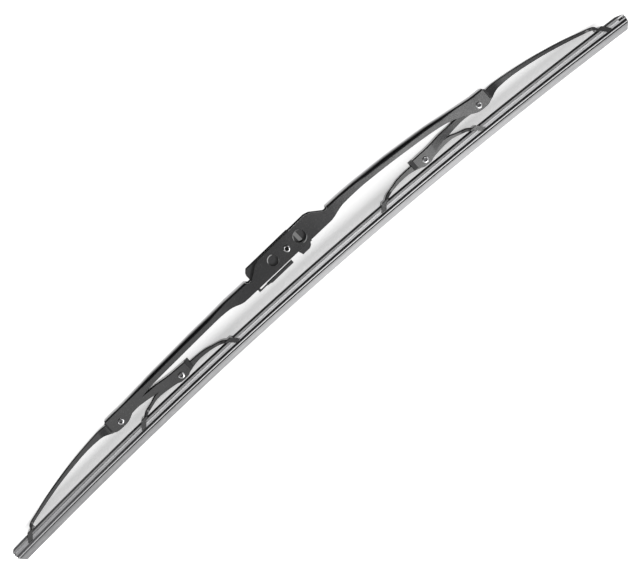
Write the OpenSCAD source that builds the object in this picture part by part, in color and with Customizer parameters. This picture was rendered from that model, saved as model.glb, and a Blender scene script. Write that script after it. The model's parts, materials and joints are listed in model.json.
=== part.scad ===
// Framed wiper blade: a pressed bridge, two levers and two yokes hold a bowed rubber strip by six claws.
// X runs along the blade, Y across it, and Z points up, away from the glass.
// The origin is the middle of the centre pin, on which the arm's hook clip turns.

/* [Blade] */
// Length of the rubber strip, from end to end
strip_length = 508; // [500:1:516]
// How far the ends of the free strip hang below its middle
strip_bow = 9.8; // [9.4:0.1:10.2]
// From the centre pin down to the top of the strip
strip_drop = 18.7; // [18.4:0.1:19.2]
// From the centre pin to each rivet that carries a lever
main_x = 148; // [146:0.5:150]
// How far the lever rivets lie below the centre pin
main_drop = 12.3; // [12:0.1:12.6]
// From the centre pin to each rivet that carries a yoke
inner_x = 101; // [100:0.5:102]
// How far the yoke rivets lie above the strip
inner_rise = 4.4; // [4.2:0.1:4.6]
// From each end of the strip to the foot of the outermost claw
claw_inset = 15; // [13:0.5:18]
// From the centre pin to the outer claw of each yoke
yoke_outer_x = 139.5; // [138:0.5:141]
// From the centre pin to the inner claw of each yoke
yoke_inner_x = 61.8; // [60:0.5:63]
// Lean of the bridge's middle against the line through its end rivets, in degrees
centre_tilt = 2.4; // [0:0.1:3]

/* [Pressed sheet] */
// Sheet thickness of the bridge
bridge_sheet = 1.1; // [1:0.05:1.2]
// Sheet thickness of the levers and yokes
lever_sheet = 1.0; // [0.9:0.05:1.1]
// Outer bend radius along the bridge's arms
bridge_bend = 2.6; // [2.2:0.1:2.8]
// Outer bend radius at the bridge's ends
bridge_end_bend = 1.4; // [1.1:0.1:1.6]
// Outer bend radius along the levers and yokes
lever_bend = 0.8; // [0.6:0.1:1.2]
// Width of the bridge over its middle
centre_w = 14; // [13.8:0.1:14.6]
// Width of each bridge end, outside
bridge_end_w = 12; // [11.9:0.1:12.4]
// How far a bridge end reaches past its rivet
bridge_end_reach = 7.9; // [7.4:0.1:8.8]
// How far the ear round a lever rivet hangs below it
main_ear_drop = 3.7; // [3.4:0.1:4]
// Height of each cheek above the centre pin
cheek_rise = 7.3; // [7:0.1:7.6]
// Depth of each cheek below the centre pin
cheek_drop = 6.4; // [6:0.1:6.8]
// From the centre pin to the web, on the clip's tail side
window_tail = 33.2; // [32.6:0.1:34]
// From the centre pin to the web, on the clip's nose side
window_nose = 35.4; // [34.8:0.1:36.8]
// Width of a lever at its bridge rivet, outside
lever_joint_w = 7.9; // [7.5:0.1:8]
// Width of a lever's long arm, outside
lever_arm_w = 6.0; // [5.8:0.1:6.6]
// Width of a lever where it holds its yoke, outside
lever_fork_w = 10.8; // [10.6:0.1:11]
// How far a lever reaches past its yoke rivet
lever_fork_reach = 6.6; // [6.2:0.1:7]
// Width of a yoke, outside
yoke_w = 6.5; // [6.2:0.1:6.6]

/* [Claws] */
// Clear width inside a claw
claw_gap = 8.3; // [8.2:0.1:8.6]
// Sheet thickness of a claw
claw_sheet = 1.0; // [0.8:0.05:1.1]
// Air between a claw and the top of the strip
claw_seat = 0.25; // [0.2:0.05:0.4]
// How far a claw's foot hangs below the top of the strip
claw_drop = 4.3; // [4.25:0.05:4.6]
// Width of a claw's foot along the blade
claw_foot = 3.4; // [2.8:0.1:4]

/* [Rivets] */
// Shank radius of the lever and yoke rivets
rivet_r = 1.5; // [1.3:0.05:1.6]
// Head radius of the lever and yoke rivets
rivet_head_r = 2.1; // [1.9:0.05:2.3]
// Height of a rivet head
rivet_head_h = 0.6; // [0.5:0.05:0.8]
// Shank radius of the centre pin
pin_r = 1.8; // [1.6:0.05:1.9]
// Head radius of the centre pin
pin_head_r = 2.3; // [2.2:0.05:2.5]
// Running clearance of each shank in its holes
pin_clear = 0.05; // [0.03:0.01:0.08]

/* [Side holes] */
// Radius of the smaller side hole
small_hole_r = 3.2; // [3:0.05:3.3]
// Radius of the larger side hole
large_hole_r = 4.0; // [3.8:0.05:4.1]
// From the centre pin to the smaller side hole
small_hole_x = 11.2; // [10:0.1:12]
// From the centre pin to the larger side hole
large_hole_x = 11.0; // [10.8:0.1:11.5]

/* [Joint liners] */
// Wall thickness of a plastic liner
liner_wall = 0.65; // [0.5:0.05:0.7]
// Air between a liner and the channel round it
liner_seat = 0.1; // [0.05:0.05:0.15]
// How far a liner's flange stands out of a bridge end
main_flange = 1.2; // [0.8:0.1:1.6]
// How far a liner's flange stands out of a lever's end
inner_flange = 2.5; // [2:0.1:2.9]

/* [Hook clip] */
// Thickness of each side plate
clip_plate = 1.0; // [0.8:0.1:1.1]
// Air between the clip and each cheek of the bridge
clip_seat = 0.25; // [0.2:0.05:0.35]
// Radius of the nose that the arm's hook wraps round
nose_r = 3.2; // [3:0.1:3.4]
// Height of the side plates above the pin
clip_rise = 7.8; // [7.4:0.1:8.2]
// From the pin to the clip's tail
clip_tail = 29.8; // [28.5:0.1:30.5]
// From the pin to the front of the side plates
clip_front = 8.7; // [8.3:0.1:8.9]
// Width of the slit between each side plate and its front leg
clip_slit = 2.4; // [2:0.1:2.6]
// Clear height of the hook's return slot, under the nose
return_slot = 4.6; // [4.5:0.05:4.8]
// Thickness of the spring tongue
tongue_t = 1.8; // [1.6:0.1:2.2]

/* [Rubber] */
// Width of the strip's head
head_w = 5.2; // [5:0.1:5.4]
// Depth from the top of the strip to the grooves for the spring strips
head_h = 2.05; // [1.95:0.05:2.15]
// Width of the web between the two spring strips
spine_w = 1.8; // [1.6:0.1:2]
// Width of the body under the spring strips
body_w = 5.5; // [5.2:0.1:5.6]
// Depth from the top of the strip to the body's lower edge
body_depth = 4.15; // [4:0.05:4.3]
// Width of the stop shoulders above the lip
shoulder_w = 5.6; // [5.2:0.1:5.8]
// Depth from the top of the strip to the shoulders
shoulder_depth = 6; // [5.9:0.05:6.1]
// Thickness of the shoulders
shoulder_h = 0.6; // [0.5:0.05:0.7]
// Width of the thin neck that lets the lip tip over
neck_w = 1.1; // [0.9:0.1:1.3]
// Width at the top of the lip
lip_top_w = 3.2; // [2.8:0.1:3.4]
// Width of the wiping edge
lip_edge_w = 0.7; // [0.6:0.05:0.9]
// Whole height of the strip's section
strip_h = 11; // [10.6:0.1:11.4]
// How much shorter the wiping edge is than the head, at each end
lip_setback = 3.2; // [2:0.1:4]

/* [Spring strips] */
// Width of each spring strip
flexor_w = 2.95; // [2.9:0.05:3]
// Thickness of each spring strip
flexor_t = 1.1; // [1:0.05:1.15]
// Air round a spring strip in its groove
flexor_seat = 0.05; // [0.04:0.01:0.08]
// How far a spring strip ends short of the rubber
flexor_setback = 1.5; // [1:0.1:2]

/* [Hidden] */

$fn = 48;
arc_fn = 256;
tiny = 0.01;
far = 40;

steel_paint = "#2b2b2d";
zinc = "#c9cacc";
bright_steel = "#b8babd";
black_plastic = "#1a1a1b";
grey_rubber = "#8b8c8e";

// The free strip lies on one long arc, whose centre is far below the blade
arc_r = (pow(strip_length / 2, 2) + pow(strip_bow, 2)) / (2 * strip_bow);
arc_z = -strip_drop - arc_r;
function strip_z(x) = arc_z + sqrt(arc_r * arc_r - x * x);
function strip_slope(x) = asin(x / arc_r);

main_z = -main_drop;
inner_z = strip_z(inner_x) + inner_rise;
outer_claw_x = strip_length / 2 - claw_inset;
claw_top = claw_seat + claw_sheet;

// Smoothed rows: a cubic through each column of a table whose first column is the place along the blade
function slope_at(t, i, c) =
    let (a = t[max(i - 1, 0)], b = t[min(i + 1, len(t) - 1)]) (b[c] - a[c]) / (b[0] - a[0]);
function cubic(t, i, c, u) =
    let (h = t[i + 1][0] - t[i][0])
    (2 * u * u * u - 3 * u * u + 1) * t[i][c]
    + (u * u * u - 2 * u * u + u) * h * slope_at(t, i, c)
    + (3 * u * u - 2 * u * u * u) * t[i + 1][c]
    + (u * u * u - u * u) * h * slope_at(t, i + 1, c);
function smooth(t, steps) = [
    for (i = [0 : len(t) - 2], k = [0 : steps - 1])
        let (u = k / steps)
        [for (c = [0 : len(t[0]) - 1]) c == 0 ? t[i][0] + u * (t[i + 1][0] - t[i][0]) : cubic(t, i, c, u)],
    t[len(t) - 1]
];

// One ring of a pressed channel, open downwards: a row is [x, top, bottom, half width, bend radius]
bend_steps = 4;
function bend(x, cy, cz, r, from, to) = [
    for (k = [0 : bend_steps])
        let (a = from + (to - from) * k / bend_steps) [x, cy + r * cos(a), cz + r * sin(a)]
];
function channel_ring(row, sheet) =
    let (
        x = row[0], top = row[1], low = row[2], w = row[3],
        r = min(row[4], 0.7 * (top - low)),
        ri = max(r - sheet, 0.15),
        wi = w - sheet,
        ti = top - sheet
    )
    concat(
        [[x, -w, low]],
        bend(x, -w + r, top - r, r, 180, 90),
        bend(x, w - r, top - r, r, 90, 0),
        [[x, w, low], [x, wi, low]],
        bend(x, wi - ri, ti - ri, ri, 0, 90),
        bend(x, -wi + ri, ti - ri, ri, 90, 180),
        [[x, -wi, low]]
    );

// A pressed channel lofted through its rows
module channel(rows, sheet) {
    rings = [for (row = rows) channel_ring(row, sheet)];
    n = len(rings[0]);
    last = len(rings) - 1;
    half = n / 2;
    points = [for (ring = rings, p = ring) p];
    walls = [
        for (i = [0 : last - 1], j = [0 : n - 1])
            let (a = i * n + j, b = i * n + (j + 1) % n)
            each [[a, b, a + n], [b, b + n, a + n]]
    ];
    // Each end is a band of quads between the outer and the inner line of its ring
    near_end = [
        for (j = [0 : half - 2])
            each [[j, n - 1 - j, j + 1], [j + 1, n - 1 - j, n - 2 - j]]
    ];
    far_end = [for (f = near_end) [for (v = [f[0], f[2], f[1]]) v + last * n]];
    polyhedron(points = points, faces = concat(walls, near_end, far_end));
}

// Round bar along Y, centred on the blade's middle plane
module across(r, length) {
    rotate([90, 0, 0]) cylinder(r = r, h = length, center = true);
}

// Flat shape drawn in the side view, X and Z, given a thickness between two places in Y
module side_plate(y0, y1) {
    translate([0, y1, 0]) rotate([90, 0, 0]) linear_extrude(height = y1 - y0) children();
}

// Box between two corners
module block(low, high) {
    translate(low) cube(high - low);
}

// How much the bridge leans up or down at x, nothing at its middle and at its end rivets
function lean(x) = x * tan(centre_tilt) * (1 - min(abs(x) / main_x, 1));

// Lower edge of a cheek: how far it has risen after each part of the run in which it rises
edge_rise = [[0, 0], [0.28, 0.65], [0.55, 1.7], [0.8, 2.45], [1, 2.8]];
tail_edge_x = 41.4;
tail_edge_run = 10;
nose_edge_x = 32.5;
nose_edge_run = 12.5;
function edge_low(x, edge_x, run) = -cheek_drop + lookup((x - edge_x) / run, edge_rise);

// Bridge: half of its rows, from the web's edge out to the end past the lever rivet
bridge_end_hw = bridge_end_w / 2;
centre_hw = centre_w / 2;
bridge_end_top = main_z + 6.75;
function arm_rows(web_x, edge_x, run) =
    let (
        bottom = main_z - main_ear_drop,
        end = main_x + bridge_end_reach,
        web = bridge_bend - 0.9,
        mid = bridge_bend,
        tight = bridge_end_bend
    )
    concat(
        [[web_x, 2.7, edge_low(web_x, edge_x, run), centre_hw, web]],
        [
            for (step = edge_rise)
                let (x = edge_x + step[0] * run)
                if (x > web_x + 1) [x, 2.65, -cheek_drop + step[1], centre_hw - 0.05, web]
        ],
        [
            [main_x - 90, 2.35, -3.25, centre_hw - 0.25, web + 0.4],
            [main_x - 82, 1.95, -3.5, centre_hw - 0.4, mid],
            [main_x - 66, 1.2, -4.4, centre_hw - 0.7, mid],
            [main_x - 50, -0.05, -5.5, bridge_end_hw + 0.15, mid],
            [main_x - 34, -1.3, -6.8, bridge_end_hw, mid],
            [main_x - 24, -2.55, -8.1, bridge_end_hw, mid - 0.3],
            [main_x - 17, main_z + 8.95, main_z + 2.5, bridge_end_hw, tight + 0.5],
            [main_x - 12, main_z + 8.3, main_z + 0.9, bridge_end_hw, tight],
            [main_x - 9, main_z + 7.95, main_z - 0.4, bridge_end_hw, tight],
            [main_x - 6, main_z + 7.65, bottom + 1.6, bridge_end_hw, tight],
            [main_x - 3, main_z + 7.35, bottom + 0.4, bridge_end_hw, tight],
            [main_x, main_z + 7.15, bottom, bridge_end_hw, tight],
            [end - 3.4, main_z + 6.95, bottom, bridge_end_hw, tight],
            [end - 1.4, bridge_end_top + 0.05, bottom + 0.5, bridge_end_hw, tight],
            [end, bridge_end_top, bottom + 1.3, bridge_end_hw, tight]
        ]
    );

function leaning(rows) = [for (r = rows) [r[0], r[1] + lean(r[0]), r[2] + lean(r[0]), r[3], r[4]]];
function reversed(rows) = [for (i = [len(rows) - 1 : -1 : 0]) let (r = rows[i]) [-r[0], r[1], r[2], r[3], r[4]]];

// Over the window the channel is drawn high, and the window's cut leaves only its cheeks
function high_row(x, low) = [x, cheek_rise + 6, low, centre_hw, bridge_bend];
function bridge_rows() =
    let (
        nose = smooth(arm_rows(window_nose, nose_edge_x, nose_edge_run), 2),
        tail = smooth(arm_rows(window_tail, tail_edge_x, tail_edge_run), 2),
        nose_side = window_nose - 1.5
    )
    leaning(concat(
        reversed(tail),
        [
            high_row(-window_tail + 1.5, -cheek_drop),
            high_row(nose_edge_x, -cheek_drop),
            high_row(nose_side, edge_low(nose_side, nose_edge_x, nose_edge_run))
        ],
        nose
    ));

// Side view of the window's cut: everything above the cheeks, down to a small notch beside each web
module window_outline() {
    nose_edge = window_nose + 0.2;
    nose_foot = window_nose - 2.6;
    nose_floor = 0.6;
    tail_foot = -window_tail + 3.2;
    tail_floor = 0.9;
    offset(r = 0.8) offset(delta = -0.8) offset(r = -1.6) offset(delta = 1.6)
    polygon([
        [-window_tail - 0.2, far], [-window_tail - 0.2, 2.4], [-window_tail + 1.1, tail_floor],
        [tail_foot + 1.1, tail_floor], [tail_foot + 8.8, cheek_rise - 0.9], [tail_foot + 12.9, cheek_rise],
        [nose_foot - 11, cheek_rise], [nose_foot - 7.4, cheek_rise - 1.1],
        [nose_foot, nose_floor], [window_nose - 0.8, nose_floor], [nose_edge, 2.4], [nose_edge, far]
    ]);
}

module bridge() {
    color(steel_paint)
    difference() {
        channel(bridge_rows(), bridge_sheet);
        rotate([0, -centre_tilt, 0]) side_plate(-far, far) window_outline();
        across(pin_r + pin_clear, far);
        rotate([0, -centre_tilt, 0]) {
            translate([-small_hole_x, 0, 0.2]) across(small_hole_r, far);
            translate([large_hole_x, 0, 0.2]) across(large_hole_r, far);
        }
        for (side = [-1, 1])
            translate([side * main_x, 0, main_z]) across(rivet_r + pin_clear, far);
    }
}

// Claw: its section across the blade, drawn as Y and Z from the top of the strip
hook_tip_y = flexor_seat + spine_w / 2 + flexor_w - 0.8;
module claw_section() {
    inside = claw_gap / 2;
    outside = inside + claw_sheet;
    hook_top = -(claw_drop - claw_sheet * 0.9);
    offset(r = 0.45) offset(delta = -0.45)
    difference() {
        translate([-outside, -claw_drop]) square([2 * outside, claw_drop + claw_top]);
        translate([-inside, hook_top]) square([2 * inside, claw_seat - hook_top]);
        translate([-hook_tip_y, -claw_drop - 1]) square([2 * hook_tip_y, claw_drop]);
    }
}

// Claw: its side view, a short plate over the strip and a foot that slants away from its arm
module claw_side() {
    toe = 3.0;
    polygon([
        [-plate_in, claw_top], [-plate_out, claw_top], [toe, -claw_drop + 0.8],
        [toe - 0.4, -claw_drop], [toe - claw_foot + 0.1, -claw_drop],
        [-plate_out - claw_foot + 0.7, -claw_seat], [-plate_in, -claw_seat]
    ]);
}

// Claw at x, its foot turned outward (1) or inward (-1)
plate_in = 5.4;
plate_out = 1.2;
module claw(x, outward) {
    translate([x, 0, strip_z(x)])
    rotate([0, strip_slope(x), 0])
    mirror([outward < 0 ? 1 : 0, 0, 0])
    intersection() {
        rotate([90, 0, 90]) linear_extrude(height = 24, center = true) claw_section();
        side_plate(-far, far) claw_side();
    }
}

// Last rows of an arm before its claw: it spreads and turns down into the claw's plate
claw_hw = claw_gap / 2 + claw_sheet;
function claw_row(x, outward, inboard, top, depth, hw) =
    let (place = x - outward * inboard, z = strip_z(place)) [place, z + top, z + top - depth, hw];
function claw_rows(x, outward, hw, heights) = [
    claw_row(x, outward, 13, heights[0], 2.3, hw),
    claw_row(x, outward, 9, heights[1], 2.3, hw + 0.2),
    claw_row(x, outward, 6.4, heights[2], 2.5, hw + 0.9),
    claw_row(x, outward, 4.9, heights[3], 2.6, claw_hw - 0.3),
    claw_row(x, outward, 3.4, claw_top - 0.1, 2.1, claw_hw - 0.1)
];
function bent(rows) = [for (r = rows) [r[0], r[1], r[2], r[3], lever_bend]];

// Lever: rows from its yoke end out to its claw, for the right-hand side
fork_hw = lever_fork_w / 2;
joint_hw = lever_joint_w / 2;
arm_hw = lever_arm_w / 2;
fork_top = inner_z + 5.3;
lever_heights = [6.1, 5.2, 4.5, 3.6];
function lever_rows() =
    let (
        fork = inner_x - lever_fork_reach,
        reach = outer_claw_x - main_x,
        tip = strip_z(outer_claw_x)
    )
    concat([
        [fork, fork_top - 0.1, inner_z - 0.5, fork_hw],
        [fork + 0.9, fork_top - 0.1, inner_z - 1.6, fork_hw],
        [fork + 2.6, fork_top - 0.05, inner_z - 2.8, fork_hw],
        [fork + 4.6, fork_top, inner_z - 3.2, fork_hw],
        [inner_x + 2.5, fork_top, inner_z - 3.2, fork_hw],
        [inner_x + 5, fork_top + 0.1, inner_z - 2.2, fork_hw],
        [inner_x + 7.5, fork_top + 0.25, inner_z - 0.9, fork_hw],
        [inner_x + 10.5, fork_top + 0.5, inner_z + 0.3, fork_hw - 0.15],
        [inner_x + 16, fork_top + 1.1, inner_z + 1.4, fork_hw - 0.45],
        [inner_x + 22, main_z + 2.9, main_z - 1.7, fork_hw - 0.9],
        [main_x - 15, main_z + 3.2, main_z - 0.7, joint_hw + 0.15],
        [main_x - 8, main_z + 3.5, main_z - 1.2, joint_hw],
        [main_x, main_z + 4.1, main_z - 2.9, joint_hw],
        [main_x + 8, main_z + 4.25, main_z - 2.8, joint_hw],
        [main_x + 10, main_z + 4.4, main_z - 2.2, joint_hw - 0.05],
        [main_x + 13, main_z + 4.6, main_z - 0.9, (joint_hw + arm_hw) / 2],
        [main_x + 17, main_z + 4.4, main_z - 0.1, arm_hw],
        [main_x + 0.31 * reach, main_z + 3.05, main_z - 0.3, arm_hw],
        [main_x + 0.45 * reach, main_z + 1.1, main_z - 2.0, arm_hw],
        [main_x + 0.59 * reach, main_z - 1.5, main_z - 4.3, arm_hw],
        [main_x + 0.73 * reach, tip + 10.5, tip + 7.8, arm_hw]
    ], claw_rows(outer_claw_x, 1, arm_hw, lever_heights));

// Yoke: rows from its inner claw to its outer claw, for the right-hand side
yoke_hw = yoke_w / 2;
yoke_heights = [5, 4, 3.2, 2.3];
function turned(rows) = [for (i = [len(rows) - 1 : -1 : 0]) rows[i]];
function yoke_rows() =
    let (a = inner_x - yoke_inner_x, b = yoke_outer_x - inner_x)
    concat(
        turned(claw_rows(yoke_inner_x, -1, yoke_hw, yoke_heights)),
        [
            [inner_x - 0.55 * a, inner_z + 2.5, inner_z - 0.4, yoke_hw],
            [inner_x - 0.36 * a, inner_z + 3.0, inner_z - 0.3, yoke_hw],
            [inner_x - 9, inner_z + 2.95, inner_z - 1.2, yoke_hw],
            [inner_x - 4, inner_z + 2.9, inner_z - 2.6, yoke_hw],
            [inner_x, inner_z + 2.9, inner_z - 3, yoke_hw],
            [inner_x + 4, inner_z + 2.8, inner_z - 2.7, yoke_hw],
            [inner_x + 9, inner_z + 2.6, inner_z - 2.0, yoke_hw],
            [inner_x + 0.4 * b, inner_z + 2.1, inner_z - 1.4, yoke_hw],
            [inner_x + 0.55 * b, inner_z + 1.4, inner_z - 1.5, yoke_hw]
        ],
        claw_rows(yoke_outer_x, 1, yoke_hw, yoke_heights)
    );

module right_lever_form() {
    difference() {
        union() {
            channel(smooth(bent(lever_rows()), 2), lever_sheet);
            claw(outer_claw_x, 1);
        }
        translate([main_x, 0, main_z]) across(rivet_r + pin_clear, far);
        translate([inner_x, 0, inner_z]) across(rivet_r + pin_clear, far);
    }
}

module right_yoke_form() {
    difference() {
        union() {
            channel(smooth(bent(yoke_rows()), 2), lever_sheet);
            claw(yoke_outer_x, 1);
            claw(yoke_inner_x, -1);
        }
        translate([inner_x, 0, inner_z]) across(rivet_r + pin_clear, far);
    }
}

module right_lever() { color(steel_paint) right_lever_form(); }
module left_lever() { color(steel_paint) mirror([1, 0, 0]) right_lever_form(); }
module right_yoke() { color(steel_paint) right_yoke_form(); }
module left_yoke() { color(steel_paint) mirror([1, 0, 0]) right_yoke_form(); }

// Rivet or pin along Y: a shank with two domed heads, each with a hollow end
module rivet(shank_r, head_r, head_h, grip) {
    hollow = 0.5 * head_r;
    end = grip / 2 + head_h;
    half = [
        [0, end - 1.7], [hollow - 0.1, end - 1.5], [hollow + 0.1, end - 0.15], [hollow + 0.3, end],
        [head_r - 0.5, end - 0.08], [head_r - 0.12, end - 0.32], [head_r, end - head_h + 0.05],
        [head_r - 0.05, end - head_h], [shank_r, end - head_h]
    ];
    other = [for (i = [len(half) - 1 : -1 : 0]) [half[i][0], -half[i][1]]];
    rotate([90, 0, 0]) rotate_extrude() polygon(concat(half, other));
}

rivet_lift = 0.03;
module main_rivet() {
    color(zinc) translate([main_x, 0, main_z])
        rivet(rivet_r, rivet_head_r, rivet_head_h, bridge_end_w + 2 * rivet_lift);
}
module yoke_rivet() {
    color(zinc) translate([inner_x, 0, inner_z])
        rivet(rivet_r, rivet_head_r, rivet_head_h, lever_fork_w + 2 * rivet_lift);
}
module right_main_rivet() { main_rivet(); }
module left_main_rivet() { mirror([1, 0, 0]) main_rivet(); }
module right_yoke_rivet() { yoke_rivet(); }
module left_yoke_rivet() { mirror([1, 0, 0]) yoke_rivet(); }

module centre_pin() {
    color(zinc) rivet(pin_r, pin_head_r, rivet_head_h, centre_w + 2 * rivet_lift);
}

// Plastic liner: a saddle inside a channel's end, with a flange that covers the end's edges
module liner(x0, x1, top, bottom, outer_w, flange_x, flange_w, flange_top, rivet_x, rivet_z) {
    out = outer_w / 2;
    inside = out - liner_wall;
    flange = flange_w / 2;
    outward = sign(x1 - x0);
    difference() {
        union() {
            difference() {
                side_plate(-out, out) polygon([
                    [x0, top], [x0, bottom + 1.5], [x0 + outward * 2.2, bottom],
                    [x1 - outward * 3, bottom], [x1, bottom + 1.5], [x1, top]
                ]);
                for (side = [-1, 1])
                    translate([x0, side * out, top]) rotate([45, 0, 0]) cube([far, 1.2, 1.2], center = true);
            }
            block([min(x1, flange_x), -flange, bottom + 1.6], [max(x1, flange_x), flange, flange_top]);
        }
        block([min(x0, flange_x) - 1, -inside, bottom - 1], [max(x0, flange_x) + 1, inside, top - liner_wall]);
        translate([rivet_x, 0, rivet_z]) across(rivet_r + pin_clear, far);
    }
}

module main_liner() {
    end = main_x + bridge_end_reach;
    color(black_plastic)
    liner(
        main_x - 5, end + liner_seat, bridge_end_top - bridge_sheet - liner_seat, main_z - 3,
        bridge_end_w - 2 * bridge_sheet - 2 * liner_seat,
        end + main_flange, bridge_end_w - 0.4, bridge_end_top - 1.4, main_x, main_z
    );
}

module yoke_liner() {
    end = inner_x - lever_fork_reach;
    top = fork_top - 0.1;
    color(black_plastic)
    liner(
        inner_x + 5, end - liner_seat, top - lever_sheet - liner_seat, inner_z - 2.4,
        lever_fork_w - 2 * lever_sheet - 2 * liner_seat,
        end - inner_flange, lever_fork_w - 0.4, top - 0.2, inner_x, inner_z
    );
}
module right_main_liner() { main_liner(); }
module left_main_liner() { mirror([1, 0, 0]) main_liner(); }
module right_yoke_liner() { yoke_liner(); }
module left_yoke_liner() { mirror([1, 0, 0]) yoke_liner(); }

// Hook clip: its side plates, each with a leg and a foot in front of a slit
clip_hw = centre_hw - bridge_sheet - clip_seat;
slot_hw = clip_hw - clip_plate;
tongue_top = -nose_r - return_slot;
module clip_side() {
    foot_x = clip_front - 4.7;
    foot_low = tongue_top - tongue_t - 0.3;
    leg_x = clip_front + clip_slit;
    difference() {
        union() {
            translate([-clip_tail, -cheek_drop + 0.2])
                square([clip_tail + clip_front, clip_rise + cheek_drop - 0.2]);
            translate([foot_x, -cheek_drop - 0.9]) square([leg_x + 3.8 - foot_x, 2.8]);
            translate([leg_x, -cheek_drop]) square([3.8, cheek_drop + 5.2]);
            polygon([
                [foot_x, -cheek_drop], [foot_x + 0.9, foot_low], [leg_x - 0.4, foot_low],
                [leg_x + 1.6, foot_low + 1.1], [leg_x + 2.6, -cheek_drop - 0.5], [leg_x + 2.6, -cheek_drop]
            ]);
        }
        translate([-clip_tail, clip_rise]) rotate(45) square(3.4, center = true);
        translate([clip_front, clip_rise]) rotate(45) square(1.6, center = true);
    }
}

// The core between the side plates, from the round nose to the tail
module clip_core() {
    circle(r = nose_r);
    translate([-clip_tail + 1.2, -nose_r]) square([clip_tail - 1.2, 2 * nose_r]);
}

// The post behind the return slot and the thin strip under it that carries the tongue
strap_hw = 2;
strap_t = 0.6;
strap_top = tongue_top - 0.25;
module clip_strap() {
    translate([-clip_tail - 1, strap_top - strap_t]) square([1.6, strap_t - strap_top - 1]);
    translate([-clip_tail - 1, -nose_r]) square([4, 2]);
    translate([-clip_tail - 1, strap_top - strap_t]) square([8, strap_t]);
}

// The spring tongue, stepped where it grows out of the strip
tongue_hw = 3;
module clip_tongue() {
    root_x = -clip_tail + 5.7;
    end_x = -clip_tail + 27;
    low = tongue_top - tongue_t;
    polygon([
        [root_x, tongue_top], [root_x, low + 0.6], [root_x + 2.2, low + 0.6],
        [root_x + 3, low], [end_x, low], [end_x, tongue_top]
    ]);
}
module hook_clip() {
    color(black_plastic)
    rotate([0, -centre_tilt, 0])
    difference() {
        union() {
            side_plate(-clip_hw, -slot_hw) clip_side();
            side_plate(slot_hw, clip_hw) clip_side();
            side_plate(-slot_hw - tiny, slot_hw + tiny) clip_core();
            side_plate(-strap_hw, strap_hw) clip_strap();
            side_plate(-tongue_hw, tongue_hw) clip_tongue();
        }
        across(pin_r + pin_clear, far);
    }
}

// Rubber section: half of it, as width from the middle and depth from the top of the strip
flexor_low = head_h + flexor_seat * 2 + flexor_t;
rubber_half = [
    [0.24 * head_w, 0], [0.38 * head_w, 0.4], [0.47 * head_w, 0.95], [head_w / 2, 1.35],
    [head_w / 2, head_h], [spine_w / 2, head_h], [spine_w / 2, flexor_low], [body_w / 2, flexor_low],
    [body_w / 2, body_depth], [0.3 * body_w, body_depth + 0.75], [0.23 * body_w, shoulder_depth - 0.2],
    [0.3 * body_w, shoulder_depth], [shoulder_w / 2, shoulder_depth],
    [shoulder_w / 2, shoulder_depth + shoulder_h], [neck_w / 2, shoulder_depth + shoulder_h + 0.3],
    [neck_w / 2, shoulder_depth + shoulder_h + 0.6], [lip_top_w / 2, shoulder_depth + shoulder_h + 0.9],
    [lip_top_w / 2 - 0.1, shoulder_depth + shoulder_h + 1.5], [lip_edge_w / 2, strip_h]
];
function rubber_outline() = concat(
    [for (p = rubber_half) [arc_r - p[1], p[0]]],
    [for (i = [len(rubber_half) - 1 : -1 : 0]) [arc_r - rubber_half[i][1], -rubber_half[i][0]]]
);

// Sweeps a section along the strip's arc, from its middle out to half_length on both sides
module along_strip(half_length) {
    sweep = asin(half_length / arc_r);
    translate([0, 0, arc_z])
    rotate([90, 0, 0])
    rotate_extrude(angle = 2 * sweep, start = 90 - sweep, $fn = arc_fn)
    children();
}

module rubber_strip() {
    lip_top = shoulder_depth + shoulder_h + 0.45;
    root_setback = 1;
    end_x = strip_length / 2;
    color(grey_rubber)
    difference() {
        along_strip(end_x) polygon(rubber_outline());
        for (side = [0, 1])
            mirror([side, 0, 0])
            translate([end_x, 0, strip_z(end_x)])
            rotate([0, strip_slope(end_x), 0])
            side_plate(-far, far)
            polygon([[-root_setback, -lip_top], [-lip_setback, -strip_h - 0.5], [far, -far], [far, -lip_top]]);
    }
}

module flexor() {
    inside = spine_w / 2 + flexor_seat;
    top = arc_r - head_h - flexor_seat;
    color(bright_steel)
    along_strip(strip_length / 2 - flexor_setback)
    translate([top - flexor_t, inside]) square([flexor_t, flexor_w]);
}
module rear_flexor() { mirror([0, 1, 0]) flexor(); }
module front_flexor() { flexor(); }

bridge();
left_lever();
right_lever();
left_yoke();
right_yoke();
left_main_rivet();
right_main_rivet();
left_yoke_rivet();
right_yoke_rivet();
left_main_liner();
right_main_liner();
left_yoke_liner();
right_yoke_liner();
centre_pin();
hook_clip();
rubber_strip();
front_flexor();
rear_flexor();
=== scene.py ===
# %% [markdown]
# # A framed wiper blade
#
# The blade is a pressed steel bridge, two levers and two yokes, riveted together, with black
# plastic liners in the joints and a plastic hook clip in the middle. Six claws hold a rubber
# strip, and two spring steel flexors in the strip's side grooves keep it bowed.
#
# The CAD model has all of these at their real size. This lesson dresses it: the pressed parts
# get soft edges, the strip gets a fine section, and every surface gets a finish of its own.

import json
import math

import bpy
from mathutils import Matrix, Vector

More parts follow.
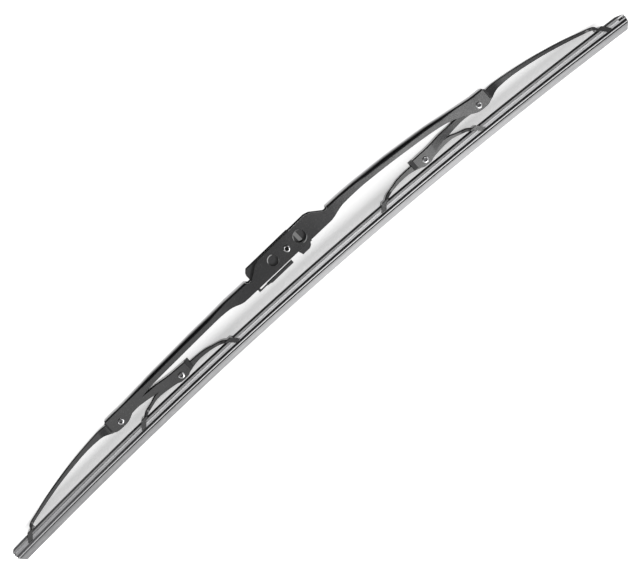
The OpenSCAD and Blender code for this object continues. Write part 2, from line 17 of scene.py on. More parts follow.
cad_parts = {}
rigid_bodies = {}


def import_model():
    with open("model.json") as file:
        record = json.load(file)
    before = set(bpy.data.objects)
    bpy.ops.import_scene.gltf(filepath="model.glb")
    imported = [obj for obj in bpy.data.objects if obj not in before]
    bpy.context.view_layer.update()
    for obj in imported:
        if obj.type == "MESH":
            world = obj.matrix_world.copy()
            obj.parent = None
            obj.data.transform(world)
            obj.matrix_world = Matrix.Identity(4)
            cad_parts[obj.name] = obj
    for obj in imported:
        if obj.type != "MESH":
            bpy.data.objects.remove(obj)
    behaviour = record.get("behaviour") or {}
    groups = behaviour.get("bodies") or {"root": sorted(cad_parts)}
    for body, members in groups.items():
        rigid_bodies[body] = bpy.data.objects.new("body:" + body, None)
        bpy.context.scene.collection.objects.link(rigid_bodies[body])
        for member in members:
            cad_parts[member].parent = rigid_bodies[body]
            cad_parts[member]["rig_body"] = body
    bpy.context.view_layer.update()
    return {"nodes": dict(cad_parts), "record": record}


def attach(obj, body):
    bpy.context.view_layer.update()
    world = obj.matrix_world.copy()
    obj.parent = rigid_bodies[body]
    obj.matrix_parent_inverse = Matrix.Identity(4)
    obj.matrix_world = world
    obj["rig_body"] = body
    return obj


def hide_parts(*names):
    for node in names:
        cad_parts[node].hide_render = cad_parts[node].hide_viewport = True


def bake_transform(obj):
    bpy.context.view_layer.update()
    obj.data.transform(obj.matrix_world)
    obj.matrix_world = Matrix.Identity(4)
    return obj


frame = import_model()

# %% [markdown]
# ## The camera
#
# In the photograph the blade lies on its side and runs from the lower left to the upper right.
# The camera looks almost square at its front, from a little above. It could be placed by hand
# and turned until the picture fits, but then its roll and its height hide in three angles. So
# it is put on a line that leaves the blade at two known angles, and is rolled by a third.

# %% Place the camera
MM = 0.001
LENS = 100.0
SENSOR = 36.0
VIEW_WIDTH = 397.0 * MM
AZIMUTH = math.radians(0.2)
ELEVATION = math.radians(7.5)
ROLL = math.radians(41.48)
AIM = Vector((0.3, -7.0, -30.9)) * MM

camera_data = bpy.data.cameras.new("camera")
camera_data.lens = LENS
camera_data.sensor_width = SENSOR
camera_data.clip_start = 0.01
camera_data.clip_end = 100.0
camera = bpy.data.objects.new("camera", camera_data)
bpy.context.scene.collection.objects.link(camera)
back = Vector((
    math.sin(AZIMUTH) * math.cos(ELEVATION),
    -math.cos(AZIMUTH) * math.cos(ELEVATION),
    math.sin(ELEVATION),
))
level = Vector((0, 0, 1)).cross(back).normalized()
upright = back.cross(level)
right = level * math.cos(ROLL) - upright * math.sin(ROLL)
up = level * math.sin(ROLL) + upright * math.cos(ROLL)
distance = VIEW_WIDTH * LENS / SENSOR
turn = Matrix((right, up, back)).transposed().to_4x4()
camera.matrix_world = Matrix.Translation(AIM + back * distance) @ turn
bpy.context.scene.camera = camera
print("camera is", round(distance, 3), "m from the blade")

# %% [markdown]
# ## Writing finishes as sums
#
# A finish is a tree of nodes, and much of it is plain arithmetic. A small class wraps a socket,
# so that `1 - mask` adds the Math node that works it out. Every other node comes from one
# method, which sets the node's own settings first and then its sockets.

# %% Wrap a socket
class Field:
    """One output of a node tree, which can be added, subtracted and multiplied like a number."""

    def __init__(self, nodes, socket):
        self.nodes = nodes
        self.socket = socket

    def math(self, operation, first, second=0.0):
        return self.nodes.node("ShaderNodeMath", {"operation": operation}, {0: first, 1: second})

    def __add__(self, other):
        return self.math("ADD", self, other)

    def __radd__(self, other):
        return self.math("ADD", other, self)

    def __sub__(self, other):
        return self.math("SUBTRACT", self, other)

    def __rsub__(self, other):
        return self.math("SUBTRACT", other, self)

    def __mul__(self, other):
        return self.math("MULTIPLY", self, other)

    def __rmul__(self, other):
        return self.math("MULTIPLY", other, self)

    def __neg__(self):
        return self.math("MULTIPLY", self, -1.0)

    def __abs__(self):
        return self.math("ABSOLUTE", self)

    def larger(self, other):
        return self.math("MAXIMUM", self, other)

    def output(self, name):
        """Another output of the same node."""
        return Field(self.nodes, self.socket.node.outputs[name])


# %% Wrap a tree of nodes
class Nodes:
    """A node tree, whose sockets take numbers, colours and fields."""

    def __init__(self, tree):
        self.tree = tree

    def give(self, socket, value):
        if isinstance(value, Field):
            self.tree.links.new(value.socket, socket)
        else:
            socket.default_value = value

    def node(self, kind, settings=None, inputs=None, output=0):
        made = self.tree.nodes.new(kind)
        for key, value in (settings or {}).items():
            setattr(made, key, value)
        for key, value in (inputs or {}).items():
            self.give(made.inputs[key], value)
        return Field(self, made.outputs[output])

    def split(self, vector):
        """The three numbers of a vector."""
        x = self.node("ShaderNodeSeparateXYZ", inputs={0: vector})
        return x, x.output("Y"), x.output("Z")

    def ramp(self, value, low, high, start=0.0, end=1.0):
        """Value from low to high becomes start to end, smoothly."""
        inputs = {"Value": value, "From Min": low, "From Max": high, "To Min": start, "To Max": end}
        return self.node("ShaderNodeMapRange", {"interpolation_type": "SMOOTHSTEP"}, inputs)

    def choose(self, factor, first, second):
        """A number between first and second."""
        return self.node("ShaderNodeMix", inputs={0: factor, 2: first, 3: second})


# %% Wrap a material
class Finish(Nodes):
    """A material with one Principled shader."""

    def __init__(self, name, colour, roughness, metallic=0.0):
        self.material = bpy.data.materials.new(name)
        self.material.use_nodes = True
        self.material.diffuse_color = (*colour, 1.0)
        super().__init__(self.material.node_tree)
        self.shader = self.tree.nodes["Principled BSDF"]
        self.set("Base Color", (*colour, 1.0))
        self.set("Roughness", roughness)
        self.set("Metallic", metallic)

    def set(self, name, value):
        self.give(self.shader.inputs[name], value)

    def place(self, scale=(1, 1, 1)):
        """Object coordinates in millimetres, stretched by scale."""
        coordinates = self.node("ShaderNodeTexCoord", output="Object")
        return self.stretch(coordinates, tuple(s / MM for s in scale))

    def stretch(self, where, scale):
        return self.node("ShaderNodeMapping", inputs={"Vector": where, "Scale": scale})

    def stored(self, name, output="Vector"):
        """What a piece keeps at each of its points under this name."""
        return self.node("ShaderNodeAttribute", {"attribute_name": name}, output=output)

    def noise(self, where, scale, detail=2.0, roughness=0.5):
        inputs = {"Vector": where, "Scale": scale, "Detail": detail, "Roughness": roughness}
        return self.node("ShaderNodeTexNoise", inputs=inputs)

    def mix(self, factor, first, second):
        """A colour between first and second."""
        inputs = {"Factor": factor}
        for socket, colour in ((6, first), (7, second)):
            inputs[socket] = (*colour, 1.0) if isinstance(colour, tuple) else colour
        return self.node("ShaderNodeMix", {"data_type": "RGBA"}, inputs, output=2)

    def bump(self, height, distance):
        inputs = {"Height": height, "Distance": distance, "Strength": 1.0}
        self.set("Normal", self.node("ShaderNodeBump", inputs=inputs))

    def report(self):
        print(self.material.name, "has", len(self.tree.nodes), "nodes")


# %% [markdown]
# ## Satin black paint
#
# Bridge, levers and yokes are pressed steel under satin black paint. One flat black would do
# from far away, but paint is never quite even: it has a fine orange peel, faint cloudiness and
# a few paler dust specks. Three noises make these, and the roughness follows the cloudiness.
#
# The punched rims of the bridge's two side holes get painted highlights, paler arcs above
# and, fainter, below. A distance from each hole's centre finds the rim, and a leaning line
# through the hole picks the arcs.

# %% Satin black paint
HOLE_HEIGHT = 0.2
SIDE_HOLES = ((-11.2, 3.2), (11.0, 4.0))
RIM_HIGHLIGHT_TONE = (0.5, 0.5, 0.5)

paint = Finish("satin_black_paint", (0.011, 0.011, 0.012), 0.26)
cloud = paint.noise(paint.place(), 0.05, 3.0)
peel = paint.noise(paint.place(), 1.6, 2.0)
speck = paint.ramp(paint.noise(paint.place(), 2.6, 0.0), 0.76, 0.80)
tone = paint.mix(cloud, (0.008, 0.008, 0.009), (0.014, 0.014, 0.015))
dusty = paint.mix(speck * 0.5, tone, (0.16, 0.16, 0.16))


def painted_rim_highlights(centre, radius):
    """A mask of painted highlight arcs on the rim of one side hole, which lies at centre along the
    bridge.
    """
    off_x = blade_x - centre
    off_z = blade_z - HOLE_HEIGHT
    away = off_x * off_x + off_z * off_z
    past_hole = paint.ramp(away, (radius - 0.1) ** 2, (radius + 0.1) ** 2)
    within_rim = paint.ramp(away, (radius + 0.7) ** 2, (radius + 0.3) ** 2)
    ring = past_hole * within_rim
    lean = (off_z * 0.9 - off_x * 0.45) * (1 / radius)
    upper = paint.ramp(lean, 0.45, 0.95)
    lower = paint.ramp(-lean, 0.75, 1.05)
    return ring * upper + ring * lower * 0.5


blade_x, _, blade_z = paint.split(paint.place())
# The paler arcs on the holes' rims are painted highlights.
rim = painted_rim_highlights(*SIDE_HOLES[0]) + painted_rim_highlights(*SIDE_HOLES[1])
paint.set("Base Color", paint.mix(rim, dusty, RIM_HIGHLIGHT_TONE))
paint.set("Roughness", 0.15 + cloud * 0.12)
paint.bump(peel, 0.012 * MM)
paint.report()

# %% [markdown]
# ## Zinc plate
#
# The rivets and the centre pin are zinc plated steel. A single bright metal would hide that
# their heads are hollow. So each rivet stores how deep its points lie behind the heads, and
# the metal is painted darker with that depth, as painted shade in the hollow. The pin in the
# middle is duller than the rivets in the arms.

# %% Zinc plate
zinc = Finish("zinc_plate", (0.74, 0.74, 0.75), 0.3, metallic=1.0)
grain = zinc.noise(zinc.place(), 3.0, 3.0)
# Painted shade: the deeper a point lies in a rivet's hollow, the darker it is painted.
hollow = zinc.ramp(zinc.stored("sunk", "Fac"), 0.25, 0.75)
toward_arms = zinc.ramp(abs(zinc.split(zinc.place())[0]), 20.0, 60.0)
rivet_plate = zinc.mix(grain, (0.60, 0.60, 0.61), (0.84, 0.84, 0.85))
plate = zinc.mix(toward_arms, (0.36, 0.36, 0.365), rivet_plate)
inside = zinc.mix(toward_arms, (0.03, 0.03, 0.03), (0.24, 0.24, 0.245))
zinc.set("Base Color", zinc.mix(hollow, plate, inside))
zinc.set("Roughness", 0.22 + grain * 0.16 + hollow * 0.3)
zinc.bump(grain, 0.02 * MM)
zinc.report()

# %% [markdown]
# ## Rolled steel
#
# The flexors are spring strip as it leaves the rolls, with fine lines along its length. A
# brushed look could come from an anisotropic shader, but a noise stretched along the strip also
# varies the colour, as rolling does. Towards the left end the steel is painted darker, as
# painted shade.
#
# The piece stores each point's place along, across and below the straightened strip, under the
# name `section`, and the darkening towards the left end reads its place along.

# %% Rolled steel
PAINTED_LEFT_END = -250.0
BRIGHT_FROM = -90.0

rolled = Finish("rolled_steel", (0.58, 0.58, 0.60), 0.3, metallic=1.0)
line = rolled.noise(rolled.place((0.01, 3.0, 3.0)), 1.0, 3.0)
reach, _, _ = rolled.split(rolled.stored("section"))
bright = rolled.mix(line, (0.64, 0.64, 0.65), (0.93, 0.93, 0.94))
# Painted shade: the steel is painted darker towards the left end.
shaded_steel = rolled.mix(line, (0.40, 0.40, 0.41), (0.62, 0.62, 0.63))
rolled.set("Base Color", rolled.mix(rolled.ramp(reach, PAINTED_LEFT_END, BRIGHT_FROM), shaded_steel, bright))
rolled.set("Roughness", 0.24 + line * 0.16)
rolled.bump(line, 0.01 * MM)
rolled.report()

# %% [markdown]
# ## Moulded black plastic
#
# Liners and clip are moulded black plastic. Such moulds are spark eroded, which leaves a fine,
# dull grain on the part. Modelled grain would cost far too many faces, so a small noise
# roughens the surface by its bump, and a large one varies the black a little.

# %% Moulded black plastic
plastic = Finish("moulded_black_plastic", (0.020, 0.020, 0.021), 0.5)
spark = plastic.noise(plastic.place(), 5.0, 2.0)
patch = plastic.noise(plastic.place(), 0.12, 2.0)
plastic.set("Base Color", plastic.mix(patch, (0.016, 0.016, 0.017), (0.028, 0.028, 0.029)))
plastic.set("Roughness", 0.55 + spark * 0.2)
plastic.bump(spark, 0.03 * MM)
plastic.report()

# %% [markdown]
# ## Graphite-coated rubber
#
# The rubber is black right through, with a grey coat on the lip and the body's sides. The stop
# shoulders and the head's lower flank are painted palest, as painted light. The crown, the
# groove, the recess and the neck are painted black, as painted shade, and that black is painted
# paler towards the left end, as painted light.
#
# Each band could be a piece or a material of its own, but the real strip is one extrusion. So
# one material reads the depth below the strip's top, paints shade black in some bands of it and
# light pale in others. A band below has its upper and lower depth and how softly it ends, in
# millimetres.

# %% Bands across the rubber
# Bands of painted shade, then bands of painted light.
SHADE_BANDS = [(-1.0, 0.95, 0.1), (3.2, 3.42, 0.04), (4.35, 5.82, 0.08), (6.48, 7.34, 0.04)]
LIT_BANDS = [(1.15, 2.2, 0.1), (5.7, 6.7, 0.1)]
GROOVE_END = 252.3

rubber = Finish("graphite_rubber", (0.27, 0.27, 0.28), 0.5)
section = rubber.stored("section")
reach, aside, depth = rubber.split(section)
across = abs(aside)


def between(value, low, high, soft):
    return rubber.ramp(value, low - soft, low + soft) * rubber.ramp(value, high + soft, high - soft)


# Painted shade: the groove, and each band below, is painted black.
groove = between(depth, 1.95, 3.3, 0.04) * between(across, -1.0, 1.9, 0.1)
painted_shade = groove * between(reach, -400.0, GROOVE_END, 0.2)
for band in SHADE_BANDS:
    painted_shade = painted_shade + between(depth, *band)
painted_light = between(depth, *LIT_BANDS[0]) + between(depth, *LIT_BANDS[1])
print(len(SHADE_BANDS), "black bands and", len(LIT_BANDS), "rubbed ones")

# %% Graphite-coated rubber
BLACK_FROM = -110.0

along = rubber.noise(rubber.stretch(section, (0.02, 1.5, 1.5)), 1.0, 3.0)
mottle = rubber.noise(rubber.stretch(section, (0.2, 0.6, 0.6)), 1.0, 3.0)
coat = rubber.ramp(along * 0.6 + mottle * 0.4, 0.35, 0.65)
grey = rubber.mix(coat, (0.25, 0.25, 0.255), (0.34, 0.34, 0.345))
grey = rubber.mix(painted_light, grey, (0.62, 0.62, 0.625))
# Painted light: the black is painted paler towards the left end.
away_from_left_light = rubber.ramp(reach, PAINTED_LEFT_END, BLACK_FROM)
black = rubber.mix(away_from_left_light, (0.17, 0.17, 0.175), (0.014, 0.014, 0.015))
rubber.set("Base Color", rubber.mix(painted_shade, grey, black))
rubber.set("Roughness", 0.45 + mottle * 0.2)
rubber.bump(along, 0.02 * MM)
rubber.report()

SLOTS = {
    "frame_paint": paint,
    "rivet_zinc": zinc,
    "black_plastic": plastic,
    "strip_rubber": rubber,
    "flexor_steel": rolled,
}
print("finishes:", ", ".join(f.material.name for f in SLOTS.values()))

# %% [markdown]
# ## Pressed and moulded parts
#
# The CAD solids have the right shapes, but their edges are knife sharp, and no sheet metal edge
# is. A sharp edge also catches no light, and the thin bright line along a pressed edge is much
# of what makes metal look like metal. So each solid is copied, its loose triangles are merged,
# and its edges are bevelled by a fraction of a millimetre. The rivets keep their edges, because
# their heads are turned with soft ones.

# %% Helpers for pieces
STRIP_NODES = ("rubber_strip", "front_flexor", "rear_flexor")
EDGE_RADIUS = {
    "frame_paint": 0.22 * MM,
    "rivet_zinc": 0.0,
    "black_plastic": 0.18 * MM,
}


def select_only(piece):
    bpy.ops.object.select_all(action="DESELECT")
    bpy.context.view_layer.objects.active = piece
    piece.select_set(True)


def apply_modifier(piece, kind, **settings):
    modifier = piece.modifiers.new(kind.lower(), kind)
    for key, value in settings.items():
        setattr(modifier, key, value)
    bpy.ops.object.modifier_apply(modifier=modifier.name)


def store_sunk(rivet):
    """Stores how far each point of a rivet lies behind its heads' ends, in millimetres."""
    end = max(abs(vertex.co.y) for vertex in rivet.data.vertices)
    sunk = rivet.data.attributes.new("sunk", "FLOAT", "POINT")
    for vertex, entry in zip(rivet.data.vertices, sunk.data):
        entry.value = (end - abs(vertex.co.y)) / MM


print("edge radii in mm:", {slot: round(radius / MM, 2) for slot, radius in EDGE_RADIUS.items()})

# %% Give each solid soft edges
MERGE_GAP = 0.002 * MM
FLAT_ANGLE = math.radians(0.5)
BEVEL_ANGLE = math.radians(50)
SMOOTH_ANGLE = math.radians(35)


def dressed_copy(name, slot):
    piece = bpy.data.objects.new(name + "_finished", frame["nodes"][name].data.copy())
    bpy.context.scene.collection.objects.link(piece)
    select_only(piece)
    bpy.ops.object.mode_set(mode="EDIT")
    bpy.ops.mesh.select_all(action="SELECT")
    bpy.ops.mesh.remove_doubles(threshold=MERGE_GAP)
    bpy.ops.mesh.dissolve_limited(angle_limit=FLAT_ANGLE)
    bpy.ops.object.mode_set(mode="OBJECT")
    if EDGE_RADIUS[slot]:
        apply_modifier(
            piece, "BEVEL", width=EDGE_RADIUS[slot], segments=2, limit_method="ANGLE",
            angle_limit=BEVEL_ANGLE, use_clamp_overlap=True,
        )
    bpy.ops.object.shade_smooth_by_angle(angle=SMOOTH_ANGLE)
    apply_modifier(piece, "WEIGHTED_NORMAL", keep_sharp=True)
    if slot == "rivet_zinc":
        store_sunk(piece)
    piece.data.materials.clear()
    piece.data.materials.append(SLOTS[slot].material)
    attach(piece, frame["nodes"][name]["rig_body"])
    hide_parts(name)
    return piece


for part in frame["record"]["subparts"]:
    if part["node"] not in STRIP_NODES:
        made = dressed_copy(part["node"], part["material_slot"])
        print(made.name, sum(len(face.vertices) - 2 for face in made.data.polygons), "triangles")

# %% [markdown]
# ## The strip
#
# Rubber and flexors are long sections that follow one arc, and the rubber bends as the levers
# and yokes rock. Each section is drawn once, standing at the left end of the strip, and spun
# round the centre of the arc, in steps short enough to bend. Then it is cut at the places where
# it passes from one pair of bodies to the next.

# %% The strip's arc
LENGTH = 508.0
BOW = 9.8
DROP = 18.7
ARC_RADIUS = ((LENGTH / 2) ** 2 + BOW ** 2) / (2 * BOW)
ARC_CENTRE = -DROP - ARC_RADIUS


def on_arc(x, y, depth):
    """A place on the strip in metres, from x, y and depth below the strip's top in millimetres."""
    angle = math.asin(x / ARC_RADIUS)
    radius = ARC_RADIUS - depth
    return Vector((radius * math.sin(angle), y, ARC_CENTRE + radius * math.cos(angle))) * MM


print("arc radius", round(ARC_RADIUS), "mm")

# %% [markdown]
# Both sections are lists of points across the strip, as distance from its middle and depth
# below its top. The rubber's is half a section, which is mirrored. It goes from the top down:
# the round head with its groove, the recess, the stop shoulders, the narrow neck and the lip.

# %% The two sections
GROOVE_TOP = 2.05
GROOVE_LOW = 3.25
CROWN = [
    (0.0, 0.0), (0.9, 0.03), (1.45, 0.16), (1.95, 0.42), (2.3, 0.78), (2.52, 1.15), (2.6, 1.45),
    (2.6, 1.85), (2.52, GROOVE_TOP - 0.03),
]
GROOVE = [
    (2.4, GROOVE_TOP), (0.95, GROOVE_TOP), (0.9, GROOVE_TOP + 0.06), (0.9, GROOVE_LOW - 0.06),
    (0.95, GROOVE_LOW), (2.62, GROOVE_LOW), (2.75, GROOVE_LOW + 0.1),
]
RECESS = [
    (2.75, 3.98), (2.66, 4.15), (2.1, 4.5), (1.62, 4.88), (1.35, 5.3), (1.27, 5.6), (1.34, 5.78),
]
SHOULDER = [
    (1.6, 5.86), (2.65, 5.86), (2.78, 5.94), (2.8, 6.1), (2.78, 6.52), (2.65, 6.62), (1.0, 6.7),
]
NECK = [(0.62, 6.78), (0.55, 6.88), (0.58, 6.98), (0.9, 7.08)]
LIP = [(1.42, 7.14), (1.56, 7.24), (1.58, 7.9), (1.45, 8.5), (0.62, 10.3), (0.36, 10.92), (0.3, 11.0)]
RUBBER_HALF = CROWN + GROOVE + RECESS + SHOULDER + NECK + LIP
FLEXOR = [
    (0.98, 2.10), (3.85, 2.10), (3.9, 2.15), (3.9, 3.15),
    (3.85, 3.2), (0.98, 3.2), (0.95, 3.15), (0.95, 2.15),
]


def mirrored(outline):
    return [(-y, depth) for y, depth in outline]


rubber_section = RUBBER_HALF + mirrored(reversed(RUBBER_HALF[1:]))
print(len(rubber_section), "points in the rubber's section,", len(FLEXOR), "in a flexor's")

# %% Spin a section along the arc
STEP = 4.0
FLEXOR_LEFT = -252.4
FLEXOR_RIGHT = 248.6


def spin_section(name, section, left, right):
    """A section drawn at the left place along the strip and spun round the arc's centre."""
    bpy.ops.object.select_all(action="DESELECT")
    bpy.ops.mesh.primitive_circle_add(vertices=len(section), radius=1.0, fill_type="NOTHING")
    piece = bpy.context.object
    piece.name = name
    for vertex, (y, depth) in zip(piece.data.vertices, section):
        vertex.co = on_arc(left, y, depth)
    sweep = math.asin(right / ARC_RADIUS) - math.asin(left / ARC_RADIUS)
    bpy.ops.object.mode_set(mode="EDIT")
    bpy.ops.mesh.select_all(action="SELECT")
    bpy.ops.mesh.spin(
        steps=round((right - left) / STEP), angle=-sweep,
        center=(0, 0, ARC_CENTRE * MM), axis=(0, 1, 0),
    )
    bpy.ops.object.mode_set(mode="OBJECT")
    xs = [vertex.co.x / MM for vertex in piece.data.vertices]
    print(name, "spun from", round(min(xs), 1), "to", round(max(xs), 1), "mm")
    return piece


rubber_whole = spin_section("rubber_whole", rubber_section, -LENGTH / 2, LENGTH / 2)
rear_whole = spin_section("rear_whole", FLEXOR, FLEXOR_LEFT, FLEXOR_RIGHT)
front_whole = spin_section("front_whole", mirrored(FLEXOR), FLEXOR_LEFT, FLEXOR_RIGHT)

# %% [markdown]
# The real strip is cut to length with a slant at each end: the lip ends short of the head, and
# the head's upper corners are cut off, the right one far more. The spun tube is closed first,
# and four wedges are then taken from it.

# %% Trim the strip's ends
WEDGE_REACH = 6.0
WEDGE_WIDTH = 20.0
SLANT = {
    "lip": ((0.4, 7.05), (3.4, 11.5)),
    "left_corner": ((2.2, -0.3), (0.0, 1.5)),
    "right_corner": ((7.3, -0.5), (0.0, 1.5)),
}


def close_ends(piece):
    select_only(piece)
    bpy.ops.object.mode_set(mode="EDIT")
    bpy.ops.mesh.select_all(action="DESELECT")
    bpy.ops.mesh.select_non_manifold()
    bpy.ops.mesh.edge_face_add()
    bpy.ops.mesh.select_all(action="SELECT")
    bpy.ops.mesh.normals_make_consistent(inside=False)
    bpy.ops.object.mode_set(mode="OBJECT")


def cut_wedge(whole, side, upper, lower):
    """Takes off what lies beyond a line across one end; a point is (distance from the end, depth)."""
    bpy.ops.object.select_all(action="DESELECT")
    bpy.ops.mesh.primitive_cube_add(size=1.0)
    wedge = bpy.context.object
    end = LENGTH / 2
    for vertex in wedge.data.vertices:
        inset, depth = upper if vertex.co.z > 0 else lower
        x = end + WEDGE_REACH if vertex.co.x > 0 else end - inset
        vertex.co = on_arc(side * x, WEDGE_WIDTH * vertex.co.y, depth)
    if side < 0:
        wedge.data.flip_normals()
    select_only(whole)
    apply_modifier(whole, "BOOLEAN", operation="DIFFERENCE", solver="EXACT", object=wedge)
    bpy.data.objects.remove(wedge)


close_ends(rubber_whole)
for side, corner in ((-1, "left_corner"), (1, "right_corner")):
    cut_wedge(rubber_whole, side, *SLANT["lip"])
    cut_wedge(rubber_whole, side, *SLANT[corner])
print("strip's ends trimmed:", len(rubber_whole.data.polygons), "faces")

# %% [markdown]
# Each spun piece is one long tube. A length of it keeps what lies between two places, which
# bisect cuts square and fills. The list gives the lengths left of the middle the left lever and
# yoke, and those right of it the right ones; between the yokes the strip's middle has the bridge.
#
# In the list below, a length has its number and its two ends, then two bodies, and then the
# stretch listed for its turn from the first body's motion to the second's.

# %% List two bodies for each length
YOKE_RIVET = 101.0
INNER_CLAW = 50.0
PAST_END = 260.0
SPANS = [
    ("1", -PAST_END, -YOKE_RIVET, "left_lever", "left_yoke", -225.0, -146.0),
    ("2", -YOKE_RIVET, -INNER_CLAW, "left_yoke", "left_lever", -61.0, -INNER_CLAW),
    ("3", -INNER_CLAW, 0.0, "left_lever", "root", -INNER_CLAW, -25.0),
    ("4", 0.0, INNER_CLAW, "root", "right_lever", 6.0, INNER_CLAW),
    ("5", INNER_CLAW, YOKE_RIVET, "right_lever", "right_yoke", INNER_CLAW, 61.0),
    ("6", YOKE_RIVET, PAST_END, "right_yoke", "right_lever", 146.0, 225.0),
]
for number, low, high, first, second, start, end in SPANS:
    print(number, "bends from", start, "to", end, "mm, between", first, "and", second)

# %% Cut the lengths
STRIP_SMOOTH_ANGLE = math.radians(40)


def store_section(piece):
    """Stores where each point lies on the straightened strip, in millimetres: along, across, deep."""
    section = piece.data.attributes.new("section", "FLOAT_VECTOR", "POINT")
    for vertex, entry in zip(piece.data.vertices, section.data):
        x, y, z = vertex.co / MM
        radius = math.hypot(x, z - ARC_CENTRE)
        entry.vector = (ARC_RADIUS * math.asin(x / radius), y, ARC_RADIUS - radius)


def cut_off(piece, x, keep_right):
    """Cuts piece at x, closes it there and keeps one side."""
    select_only(piece)
    bpy.ops.object.mode_set(mode="EDIT")
    bpy.ops.mesh.select_all(action="SELECT")
    bpy.ops.mesh.bisect(
        plane_co=(x * MM, 0, 0), plane_no=(1, 0, 0), use_fill=True,
        clear_inner=keep_right, clear_outer=not keep_right,
    )
    bpy.ops.object.mode_set(mode="OBJECT")


def strip_lengths(whole, node, slot):
    for number, low, high, first, second, start, end in SPANS:
        piece = bpy.data.objects.new(f"{node}_{number}", whole.data.copy())
        bpy.context.scene.collection.objects.link(piece)
        if low > -LENGTH / 2:
            cut_off(piece, low, keep_right=True)
        if high < LENGTH / 2:
            cut_off(piece, high, keep_right=False)
        close_ends(piece)
        store_section(piece)
        bpy.ops.object.shade_smooth_by_angle(angle=STRIP_SMOOTH_ANGLE)
        piece.data.materials.append(SLOTS[slot].material)
        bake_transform(piece)
        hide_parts(node)
        print(piece.name, len(piece.data.polygons), "faces")
    bpy.data.objects.remove(whole)


strip_lengths(rubber_whole, "rubber_strip", "strip_rubber")
strip_lengths(rear_whole, "rear_flexor", "flexor_steel")
strip_lengths(front_whole, "front_flexor", "flexor_steel")

# %% [markdown]
# ## The floor
#
# The blade lies on its side on white paper and is photographed from above it, so the floor is
# the upright plane behind the blade. It takes the blade's shadow and shows in its gloss, but it
# holds no light back, and from behind it can be looked through, so that the blade shows from
# all sides. The photographed paper is burnt out to white beyond the arms and past the strip's
# ends, so it glows more there. The patch right behind the bridge, which shows only through the
# larger side hole, lies in deep shade.

# %% Lay the floor
FLOOR_Y = 8.2 * MM
FLOOR_SIZE = 3.0

bpy.ops.object.select_all(action="DESELECT")
bpy.ops.mesh.primitive_plane_add(
    size=FLOOR_SIZE, location=(0, FLOOR_Y, 0), rotation=(math.pi / 2, 0, 0),
)
floor = bpy.context.object
floor.name = "floor"
floor.visible_diffuse = False
floor.visible_shadow = False
print("floor at y =", FLOOR_Y)

# %% White paper
PAPER_GLOW = 0.50
ARM_SLOPE = 0.27
WHITE_ABOVE_ARMS = (39.0, 42.0)
WHITE_PAST_ENDS = (231.0, 243.0)
SHADE_X = 9.0
SHADE_Z = -1.5
SHADE_HALF_WIDTH = 8.0
SHADE_HALF_HEIGHT = 6.25

paper = Finish("white_paper", (0.86, 0.86, 0.86), 0.9)
sheet_x, sheet_z, _ = paper.split(paper.place())
beyond_arms = paper.ramp(sheet_z + abs(sheet_x) * ARM_SLOPE, *WHITE_ABOVE_ARMS)
past_strip = paper.ramp(abs(sheet_x), *WHITE_PAST_ENDS)
outside = beyond_arms.larger(past_strip)
off_x = (sheet_x - SHADE_X) * (1 / SHADE_HALF_WIDTH)
off_z = (sheet_z - SHADE_Z) * (1 / SHADE_HALF_HEIGHT)
# Painted shade: the paper right behind the bridge is painted dark.
shade = paper.ramp(off_x * off_x + off_z * off_z, 1.0, 0.6)
paper.set("Base Color", paper.mix(shade, (0.86, 0.86, 0.86), (0.20, 0.20, 0.20)))
glow = paper.mix(outside, (1.0, 1.0, 1.0), (2.0, 2.0, 2.0))
paper.set("Emission Color", paper.mix(shade, glow, (0.15, 0.15, 0.15)))
paper.set("Emission Strength", PAPER_GLOW)
paper.report()

# %% Make the paper clear from behind
backface = paper.node("ShaderNodeNewGeometry", output="Backfacing")
front_side = Field(paper, paper.shader.outputs[0])
clear = paper.node("ShaderNodeBsdfTransparent")
seen = paper.node("ShaderNodeMixShader", inputs={0: backface, 1: front_side, 2: clear})
paper.give(paper.tree.nodes["Material Output"].inputs["Surface"], seen)
floor.data.materials.append(paper.material)
print("the floor is made of", floor.data.materials[0].name)

# %% [markdown]
# ## The light
#
# The room is grey in front and below, bright along the horizon and dark overhead, which is why
# the rounded upper edges of the paint look black while the flat side faces look grey. A plain
# white room would be simpler, but then all faces of a glossy black part look alike. What the
# gloss mirrors is brighter than what lights the rubber and the paper, and the camera sees white.

# %% Light the room
FRONT = 0.5
OVERHEAD = 0.02
BAND = 1.6
DIFFUSE_LEVEL = 0.35

world = bpy.data.worlds.new("studio")
bpy.context.scene.world = world
world.use_nodes = True
sky = Nodes(world.node_tree)
_, _, height = sky.split(sky.node("ShaderNodeTexCoord", output="Generated"))
room = sky.ramp(height, 0.02, 0.20, FRONT, OVERHEAD)
window = sky.ramp(height, -0.05, 0.01, 0.0, BAND) * sky.ramp(height, 0.05, 0.16, 1.0, 0.0)
dome = room + window
ray = sky.node("ShaderNodeLightPath")
lit = sky.choose(ray.output("Is Glossy Ray"), dome * DIFFUSE_LEVEL, dome)
straight = ray.output("Is Camera Ray").larger(ray.output("Is Transmission Ray"))
background = world.node_tree.nodes["Background"]
sky.give(background.inputs["Color"], (1.0, 1.0, 1.0, 1.0))
sky.give(background.inputs["Strength"], sky.choose(straight, lit, 1.0))
print("the room has", len(world.node_tree.nodes), "nodes")

# %% [markdown]
# The key lamp stands low in front, on the lip's side: it lights the lip and the lower edges, and
# leaves the recess under the claws dark. Two panels stand where the arms' side faces mirror
# them, the right-hand one brighter, and a soft fill without a highlight reaches the strip alone.

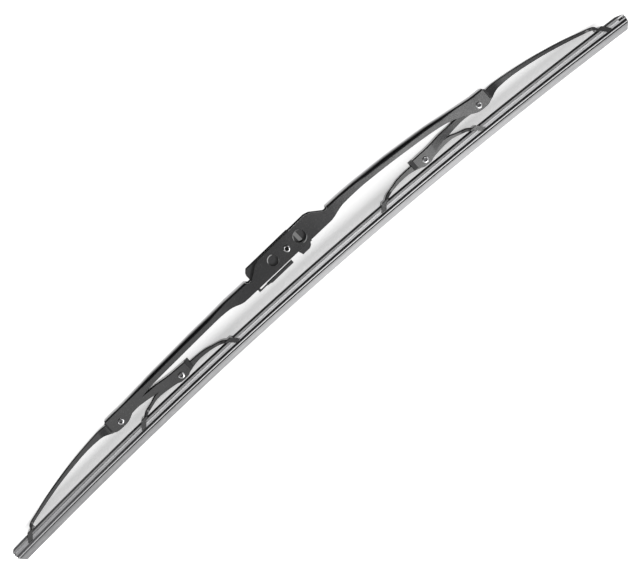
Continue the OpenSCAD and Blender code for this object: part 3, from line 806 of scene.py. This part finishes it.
# %% Hang the lamps
def soft_lamp(name, place, aim, size, radiance):
    """A rectangular lamp at place, turned to aim, whose face shines with radiance."""
    data = bpy.data.lights.new(name, "AREA")
    data.shape = "RECTANGLE"
    data.size, data.size_y = size
    data.energy = radiance * math.pi * size[0] * size[1]
    lamp = bpy.data.objects.new(name, data)
    bpy.context.scene.collection.objects.link(lamp)
    lamp.location = place
    lamp.rotation_euler = (Vector(aim) - Vector(place)).to_track_quat("-Z", "Y").to_euler()
    lamp.visible_camera = False
    print(name, "shines with", round(data.energy, 3), "W")
    return lamp


key = soft_lamp("key", (0.08, -0.28, -0.37), (0.04, 0, 0), (0.25, 0.18), radiance=17.0)
right_panel = soft_lamp("right_panel", (0.2325, -1.1, -0.14), (0.15, 0, 0), (0.165, 0.28), radiance=7.6)
left_panel = soft_lamp("left_panel", (-0.36, -1.1, -0.14), (-0.15, 0, 0), (0.44, 0.28), radiance=1.7)
strip_fill = soft_lamp("strip_fill", (0.05, -0.8, -0.02), (0.03, 0, -0.02), (0.4, 0.3), radiance=7.5)
strip_fill.visible_glossy = False

# %% [markdown]
# The paper has a lamp of its own, low on the lip's side. Only the strip stands in its way, so
# the strip's soft shadow falls across the paper between the strip and the arms.

# %% Light the paper
WASH_LEVEL = 2.4
WASH_SPREAD = math.radians(40)
WASH_COURSE = Vector((0, 1.0, 0.9))

sun = bpy.data.lights.new("paper_wash", "SUN")
sun.energy = WASH_LEVEL
sun.angle = WASH_SPREAD
wash = bpy.data.objects.new("paper_wash", sun)
bpy.context.scene.collection.objects.link(wash)
wash.rotation_euler = WASH_COURSE.to_track_quat("-Z", "Y").to_euler()
climb = math.atan2(WASH_COURSE.z, WASH_COURSE.y)
print("the paper's lamp shines up at", round(math.degrees(climb)), "degrees")

# %% [markdown]
# A lamp would otherwise light all that it reaches. Light linking gives each one its own pieces,
# so that the lamps for the blade leave the paper alone, and the paper's lamp leaves the blade.

# %% Say what each lamp lights
def linked(name, pieces):
    group = bpy.data.collections.new(name)
    for piece in pieces:
        group.objects.link(piece)
    return group


blade = [
    piece for piece in bpy.context.scene.objects
    if piece.type == "MESH" and piece is not floor and not piece.hide_render
]
paper_only = linked("paper_only", [floor])
blade_only = linked("blade_only", blade)
painted_only = linked("painted_only", [p for p in blade if p.name.endswith("_finished")])
strip_only = linked("strip_only", [p for p in blade if p.name.startswith("rubber_strip_")])
wash.light_linking.receiver_collection = paper_only
wash.light_linking.blocker_collection = strip_only
key.light_linking.receiver_collection = blade_only
right_panel.light_linking.receiver_collection = painted_only
left_panel.light_linking.receiver_collection = painted_only
strip_fill.light_linking.receiver_collection = strip_only

bpy.context.scene.view_settings.view_transform = "Standard"
